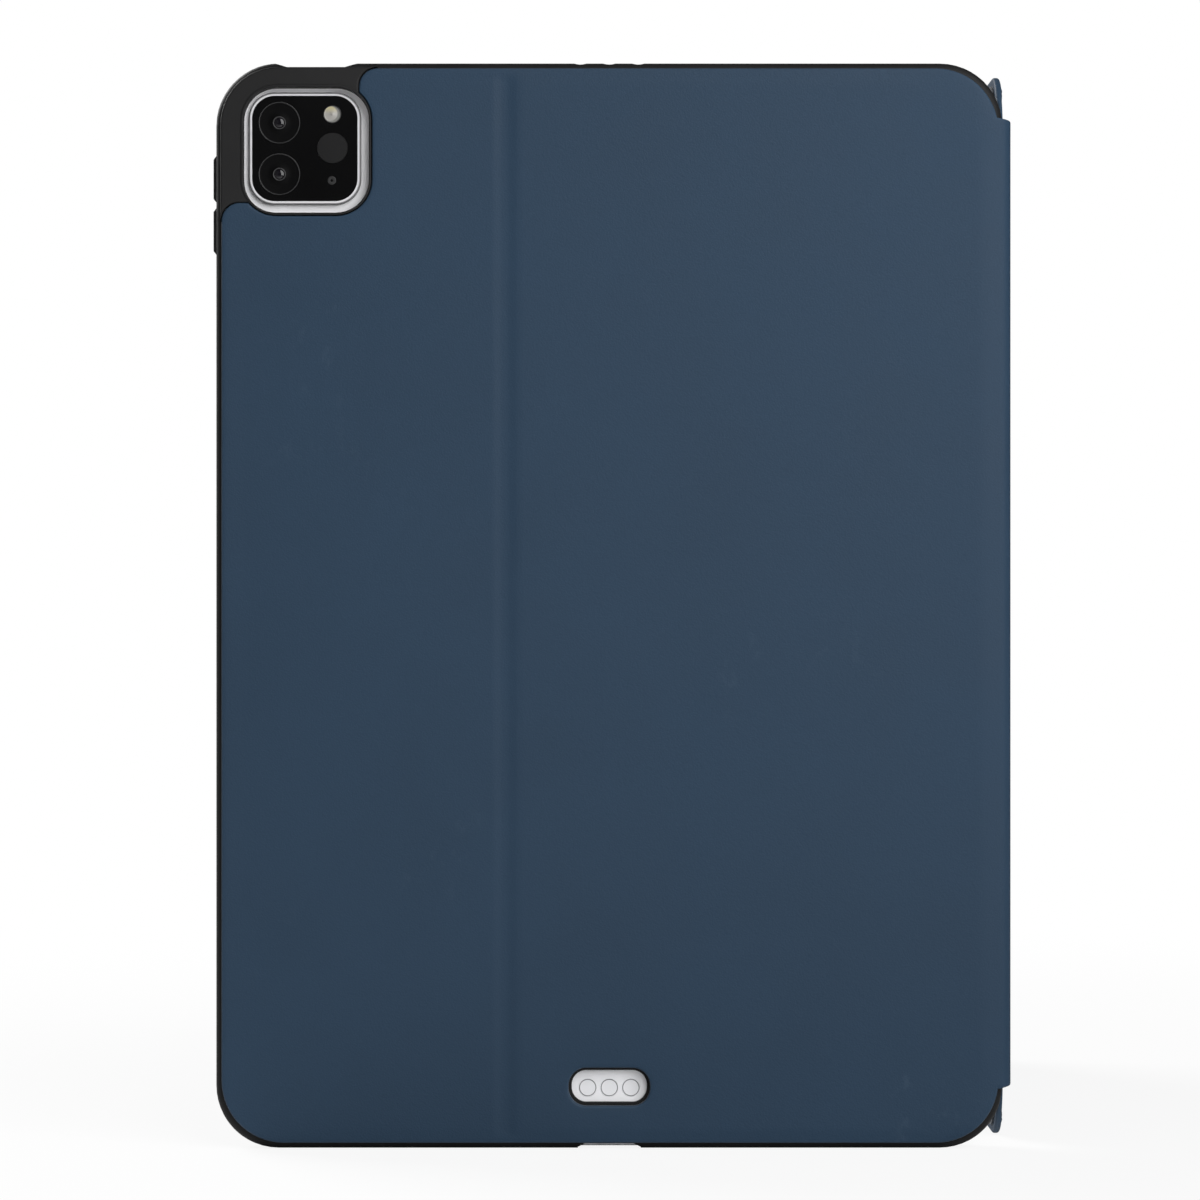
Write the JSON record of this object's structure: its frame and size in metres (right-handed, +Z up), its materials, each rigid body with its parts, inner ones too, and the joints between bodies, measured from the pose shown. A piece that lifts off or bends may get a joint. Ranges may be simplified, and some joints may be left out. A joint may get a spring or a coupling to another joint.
{
  "type": "tablet keyboard case",
  "caption": "Folio keyboard case for a tablet: moulded tray with camera window, folding back panel that makes a stand, soft spine, and a hinged cover carrying a keyboard with a typing groove.",
  "frame": {"origin": "middle of the tray's bottom edge, on the surface that the open case stands on", "axes": "+X to the right across the back panel, +Y from the back panel towards the screen, +Z up along the long edge; the cover stands open at a right angle behind the spine"},
  "size_m": [0.1846, 0.2006, 0.2512],
  "materials": {
    "tpu_black": "matt moulded, fine grain",
    "skin_navy": "fine-grained PU, satin",
    "board_grey": "raw board",
    "lining_blue": "short microfibre nap",
    "adhesive_film": "translucent film",
    "magnet_nickel": "nickel plate",
    "spring_steel": "rolled",
    "housing_aluminium": "bead-blasted, anodised",
    "display_black": "polished",
    "camera_black": "polished",
    "lens_dark": "coated lens",
    "flash_cream": "diffuser",
    "sensor_grey": "smoked",
    "cell_foil": "pouch foil",
    "port_steel": "drawn",
    "key_plastic": "fine matt",
    "deck_plastic": "fine matt",
    "base_plastic": "fine matt",
    "membrane_film": "printed film",
    "dome_rubber": "silicone",
    "pcb_green": "solder mask",
    "light_pipe": "frosted"
  },
  "bodies": {
    "tray": {"shell_tray": "tpu_black", "keeper_strips": "spring_steel", "tablet_housing": "housing_aluminium", "tablet_display_glass": "display_black", "tablet_battery": "cell_foil", "tablet_charge_port": "port_steel", "contact_pads": "housing_aluminium", "camera_plinth": "housing_aluminium", "camera_glass": "camera_black", "camera_lenses": "lens_dark", "camera_flash": "flash_cream", "depth_sensor_window": "sensor_grey", "fixed_skin": "skin_navy", "fixed_board": "board_grey", "bonding_sheet": "adhesive_film"},
    "stand": {"stand_skin": "skin_navy", "stand_board": "board_grey", "stand_lining": "lining_blue", "stand_magnets": "magnet_nickel"},
    "spine": {"spine_skin": "skin_navy", "spine_stiffener": "board_grey", "spine_lining": "lining_blue"},
    "cover": {"cover_skin": "skin_navy", "cover_board": "board_grey", "cover_lining": "lining_blue", "keyboard_base": "base_plastic", "keyboard_bezel": "deck_plastic", "backplate": "spring_steel", "membrane": "membrane_film", "dome_sheet": "dome_rubber", "groove_magnets": "magnet_nickel", "battery_pack": "cell_foil", "controller_board": "pcb_green", "charge_port": "port_steel", "status_lights": "light_pipe"},
    "volume_up": {"volume_up_cover": "tpu_black", "tablet_volume_up_key": "housing_aluminium"},
    "volume_down": {"volume_down_cover": "tpu_black", "tablet_volume_down_key": "housing_aluminium"},
    "top_button": {"tablet_top_button": "housing_aluminium"},
    "switch": {"power_switch": "key_plastic"},
    "key_escape": {"key_escape": "key_plastic"},
    "keys_function": {"keys_function": "key_plastic"},
    "keys_number": {"keys_number": "key_plastic"},
    "key_backspace": {"key_backspace": "key_plastic"},
    "key_tab": {"key_tab": "key_plastic"},
    "keys_upper": {"keys_upper": "key_plastic"},
    "key_caps": {"key_caps": "key_plastic"},
    "keys_home": {"keys_home": "key_plastic"},
    "key_enter": {"key_enter": "key_plastic"},
    "key_left_shift": {"key_left_shift": "key_plastic"},
    "keys_lower": {"keys_lower": "key_plastic"},
    "key_right_shift": {"key_right_shift": "key_plastic"},
    "keys_modifier": {"keys_modifier": "key_plastic"},
    "key_space": {"key_space": "key_plastic"},
    "key_left": {"key_left": "key_plastic"},
    "key_up": {"key_up": "key_plastic"},
    "key_down": {"key_down": "key_plastic"},
    "key_right": {"key_right": "key_plastic"}
  },
  "joints": [
    {"name": "stand_crease", "type": "hinge", "parent": "tray", "child": "stand", "pos_m": [-0.02415, -0.0057, 0.1256], "axis": [0, 0, -1], "range_deg": [0, 60]},
    {"name": "spine_fold", "type": "hinge", "parent": "stand", "child": "spine", "pos_m": [0.09197, -0.00542, 0.1256], "axis": [0, 0, -1], "range_deg": [0, 90]},
    {"name": "cover_fold", "type": "hinge", "parent": "spine", "child": "cover", "pos_m": [0.09197, 0.01117, 0.1256], "axis": [0, 0, -1], "range_deg": [-90, 40]},
    {"name": "volume_up_press", "type": "slide", "parent": "tray", "child": "volume_up", "axis": [1, 0, 0], "range_m": [0, 0.0004], "stiffness_N_per_m": 5000},
    {"name": "volume_down_press", "type": "slide", "parent": "tray", "child": "volume_down", "axis": [1, 0, 0], "range_m": [0, 0.0004], "stiffness_N_per_m": 5000},
    {"name": "top_button_press", "type": "slide", "parent": "tray", "child": "top_button", "axis": [0, 0, -1], "range_m": [0, 0.0004], "stiffness_N_per_m": 5000},
    {"name": "power_switch_slide", "type": "slide", "parent": "cover", "child": "switch", "axis": [0, 0, 1], "range_m": [0, 0.003]},
    {"name": "key_escape_press", "type": "slide", "parent": "cover", "child": "key_escape", "axis": [1, 0, 0], "range_m": [0, 0.0012], "stiffness_N_per_m": 500},
    {"name": "keys_function_press", "type": "slide", "parent": "cover", "child": "keys_function", "axis": [1, 0, 0], "range_m": [0, 0.0012], "stiffness_N_per_m": 500},
    {"name": "keys_number_press", "type": "slide", "parent": "cover", "child": "keys_number", "axis": [1, 0, 0], "range_m": [0, 0.0012], "stiffness_N_per_m": 500},
    {"name": "key_backspace_press", "type": "slide", "parent": "cover", "child": "key_backspace", "axis": [1, 0, 0], "range_m": [0, 0.0012], "stiffness_N_per_m": 500},
    {"name": "key_tab_press", "type": "slide", "parent": "cover", "child": "key_tab", "axis": [1, 0, 0], "range_m": [0, 0.0012], "stiffness_N_per_m": 500},
    {"name": "keys_upper_press", "type": "slide", "parent": "cover", "child": "keys_upper", "axis": [1, 0, 0], "range_m": [0, 0.0012], "stiffness_N_per_m": 500},
    {"name": "key_caps_press", "type": "slide", "parent": "cover", "child": "key_caps", "axis": [1, 0, 0], "range_m": [0, 0.0012], "stiffness_N_per_m": 500},
    {"name": "keys_home_press", "type": "slide", "parent": "cover", "child": "keys_home", "axis": [1, 0, 0], "range_m": [0, 0.0012], "stiffness_N_per_m": 500},
    {"name": "key_enter_press", "type": "slide", "parent": "cover", "child": "key_enter", "axis": [1, 0, 0], "range_m": [0, 0.0012], "stiffness_N_per_m": 500},
    {"name": "key_left_shift_press", "type": "slide", "parent": "cover", "child": "key_left_shift", "axis": [1, 0, 0], "range_m": [0, 0.0012], "stiffness_N_per_m": 500},
    {"name": "keys_lower_press", "type": "slide", "parent": "cover", "child": "keys_lower", "axis": [1, 0, 0], "range_m": [0, 0.0012], "stiffness_N_per_m": 500},
    {"name": "key_right_shift_press", "type": "slide", "parent": "cover", "child": "key_right_shift", "axis": [1, 0, 0], "range_m": [0, 0.0012], "stiffness_N_per_m": 500},
    {"name": "keys_modifier_press", "type": "slide", "parent": "cover", "child": "keys_modifier", "axis": [1, 0, 0], "range_m": [0, 0.0012], "stiffness_N_per_m": 500},
    {"name": "key_space_press", "type": "slide", "parent": "cover", "child": "key_space", "axis": [1, 0, 0], "range_m": [0, 0.0012], "stiffness_N_per_m": 500},
    {"name": "key_left_press", "type": "slide", "parent": "cover", "child": "key_left", "axis": [1, 0, 0], "range_m": [0, 0.0012], "stiffness_N_per_m": 500},
    {"name": "key_up_press", "type": "slide", "parent": "cover", "child": "key_up", "axis": [1, 0, 0], "range_m": [0, 0.0012], "stiffness_N_per_m": 500},
    {"name": "key_down_press", "type": "slide", "parent": "cover", "child": "key_down", "axis": [1, 0, 0], "range_m": [0, 0.0012], "stiffness_N_per_m": 500},
    {"name": "key_right_press", "type": "slide", "parent": "cover", "child": "key_right", "axis": [1, 0, 0], "range_m": [0, 0.0012], "stiffness_N_per_m": 500}
  ]
}
